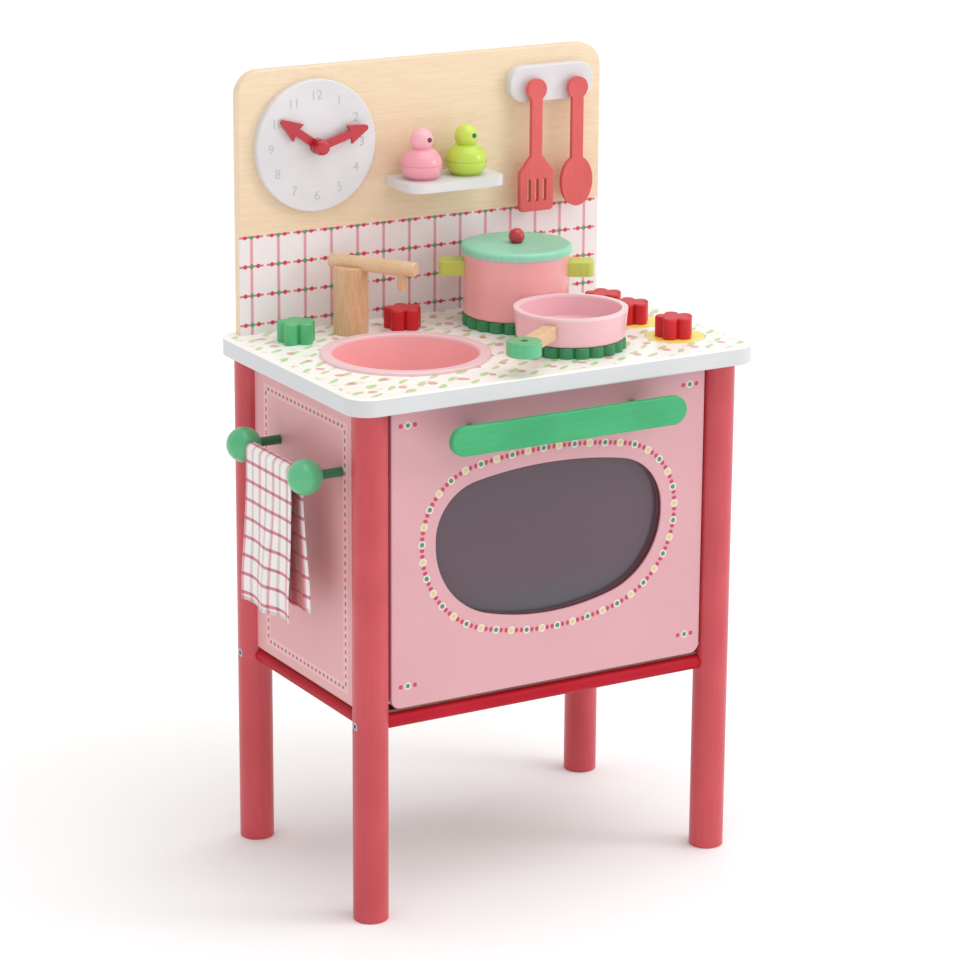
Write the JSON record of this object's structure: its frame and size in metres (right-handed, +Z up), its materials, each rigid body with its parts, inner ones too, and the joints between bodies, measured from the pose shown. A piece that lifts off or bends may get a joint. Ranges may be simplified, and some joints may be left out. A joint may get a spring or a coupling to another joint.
{
  "type": "play kitchen",
  "caption": "Wooden play kitchen with an oven cabinet, a drop-down door, a sink with a swivel tap, a hob with a pot and a pan, a clock, a shelf, hanging utensils and a towel rack.",
  "frame": {"origin": "on the floor, under the middle of the whole outline", "axes": "+X to the right seen from the front, the front towards -Y, +Z up"},
  "size_m": [0.486, 0.3146, 0.8],
  "materials": {
    "red_wood": "satin paint",
    "bright_red_wood": "satin paint",
    "pink_panel": "satin print",
    "natural_wood": "clear matt",
    "worktop_white": "satin print on wood",
    "door_pink": "satin print",
    "board_print": "print on wood",
    "white_paint": "satin paint",
    "coral_wood": "satin paint",
    "green_wood": "satin paint",
    "dark_green_wood": "satin paint",
    "leaf_green_wood": "satin paint",
    "lime_wood": "satin paint",
    "mint_wood": "satin paint",
    "sink_pink": "satin paint",
    "pot_pink": "satin paint",
    "pan_pink": "satin paint",
    "shaker_pink": "satin paint",
    "shaker_green": "satin paint",
    "pane": "clear tinted",
    "steel": "zinc plated",
    "catch_plastic": "matt",
    "cloth": "woven check"
  },
  "bodies": {
    "cabinet": {"back_board": "board_print", "burner_back": "leaf_green_wood", "burner_front": "leaf_green_wood", "cabinet_back": "natural_wood", "clock_face": "white_paint", "clock_spindle": "bright_red_wood", "hook_rail": "white_paint", "leg_back_left": "red_wood", "leg_back_right": "red_wood", "leg_front_left": "red_wood", "leg_front_right": "red_wood", "magnetic_catch": "catch_plastic", "oven_floor": "natural_wood", "rail_back": "bright_red_wood", "rail_front": "bright_red_wood", "rail_left": "bright_red_wood", "rail_right": "bright_red_wood", "rail_screws": "steel", "shelf": "white_paint", "side_panel_left": "pink_panel", "side_panel_right": "pink_panel", "towel_ball_back": "green_wood", "towel_ball_front": "green_wood", "towel_post_back": "dark_green_wood", "towel_post_front": "dark_green_wood", "towel_rod": "dark_green_wood", "utensil_pegs": "natural_wood", "worktop": "worktop_white"},
    "door": {"oven_door": "door_pink", "door_window": "pane", "door_handle": "green_wood", "handle_post_left": "dark_green_wood", "handle_post_right": "dark_green_wood", "hinge_pin_left": "steel", "hinge_pin_right": "steel", "catch_plate": "steel"},
    "hour": {"hour_hand": "bright_red_wood"},
    "minute": {"minute_hand": "bright_red_wood"},
    "tap": {"tap_column": "natural_wood", "tap_spout": "natural_wood", "tap_outlet": "natural_wood"},
    "green_tap_knob": {"tap_knob_green": "green_wood"},
    "red_tap_knob": {"tap_knob_red": "bright_red_wood"},
    "back_hob_knob": {"hob_knob_back": "leaf_green_wood"},
    "middle_hob_knob": {"hob_knob_middle": "leaf_green_wood"},
    "front_hob_knob": {"hob_knob_front": "leaf_green_wood"},
    "sink": {"sink_bowl": "sink_pink"},
    "pot": {"pot_body": "pot_pink", "pot_ear_left": "lime_wood", "pot_ear_right": "lime_wood"},
    "lid": {"pot_lid": "mint_wood", "lid_ball": "bright_red_wood"},
    "pan": {"pan_body": "pan_pink", "pan_handle": "natural_wood", "pan_handle_end": "green_wood"},
    "pink_shaker": {"shaker_pink": "shaker_pink"},
    "green_shaker": {"shaker_green": "shaker_green"},
    "spatula_body": {"spatula": "coral_wood"},
    "spoon_body": {"spoon": "coral_wood"},
    "towel_body": {"towel": "cloth"}
  },
  "joints": [
    {"name": "door_hinge", "type": "hinge", "parent": "cabinet", "child": "door", "pos_m": [0.01525, -0.11425, 0.222], "axis": [1, 0, 0], "range_deg": [0, 90]},
    {"name": "hour_turn", "type": "hinge", "parent": "cabinet", "child": "hour", "pos_m": [-0.1112, 0.125, 0.7212], "axis": [0, 1, 0], "continuous": true},
    {"name": "minute_turn", "type": "hinge", "parent": "cabinet", "child": "minute", "pos_m": [-0.1112, 0.1205, 0.7212], "axis": [0, 1, 0], "continuous": true},
    {"name": "tap_swivel", "type": "hinge", "parent": "cabinet", "child": "tap", "pos_m": [-0.0899, 0.09685, 0.5345], "axis": [0, 0, 1], "range_deg": [-145, 78]},
    {"name": "green_tap_turn", "type": "hinge", "parent": "cabinet", "child": "green_tap_knob", "pos_m": [-0.1542, 0.09075, 0.5345], "axis": [0, 0, 1], "continuous": true},
    {"name": "red_tap_turn", "type": "hinge", "parent": "cabinet", "child": "red_tap_knob", "pos_m": [-0.0335, 0.09175, 0.5345], "axis": [0, 0, 1], "continuous": true},
    {"name": "back_hob_turn", "type": "hinge", "parent": "cabinet", "child": "back_hob_knob", "pos_m": [0.1795, 0.05075, 0.5345], "axis": [0, 0, 1], "continuous": true},
    {"name": "middle_hob_turn", "type": "hinge", "parent": "cabinet", "child": "middle_hob_knob", "pos_m": [0.182, 0.00275, 0.5345], "axis": [0, 0, 1], "continuous": true},
    {"name": "front_hob_turn", "type": "hinge", "parent": "cabinet", "child": "front_hob_knob", "pos_m": [0.1871, -0.07065, 0.5345], "axis": [0, 0, 1], "continuous": true},
    {"name": "sink_lift", "type": "slide", "parent": "cabinet", "child": "sink", "axis": [0, 0, 1], "range_m": [0, 0.04]},
    {"name": "pot_lift", "type": "slide", "parent": "cabinet", "child": "pot", "axis": [0, 0, 1], "range_m": [0, 0.02]},
    {"name": "lid_lift", "type": "slide", "parent": "pot", "child": "lid", "axis": [0, 0, 1], "range_m": [0, 0.025]},
    {"name": "pan_lift", "type": "slide", "parent": "cabinet", "child": "pan", "axis": [0, 0, 1], "range_m": [0, 0.03]},
    {"name": "pink_shaker_lift", "type": "slide", "parent": "cabinet", "child": "pink_shaker", "axis": [0, 0, 1], "range_m": [0, 0.04]},
    {"name": "green_shaker_lift", "type": "slide", "parent": "cabinet", "child": "green_shaker", "axis": [0, 0, 1], "range_m": [0, 0.04]},
    {"name": "spatula_swing", "type": "hinge", "parent": "cabinet", "child": "spatula_body", "pos_m": [0.1358, 0.116, 0.7591], "axis": [0, 1, 0], "range_deg": [0, 18]},
    {"name": "spoon_swing", "type": "hinge", "parent": "cabinet", "child": "spoon_body", "pos_m": [0.1845, 0.116, 0.7576], "axis": [0, 1, 0], "range_deg": [-25, 0]},
    {"name": "towel_lift", "type": "slide", "parent": "cabinet", "child": "towel_body", "axis": [0, 0, 1], "range_m": [0, 0.04]}
  ]
}
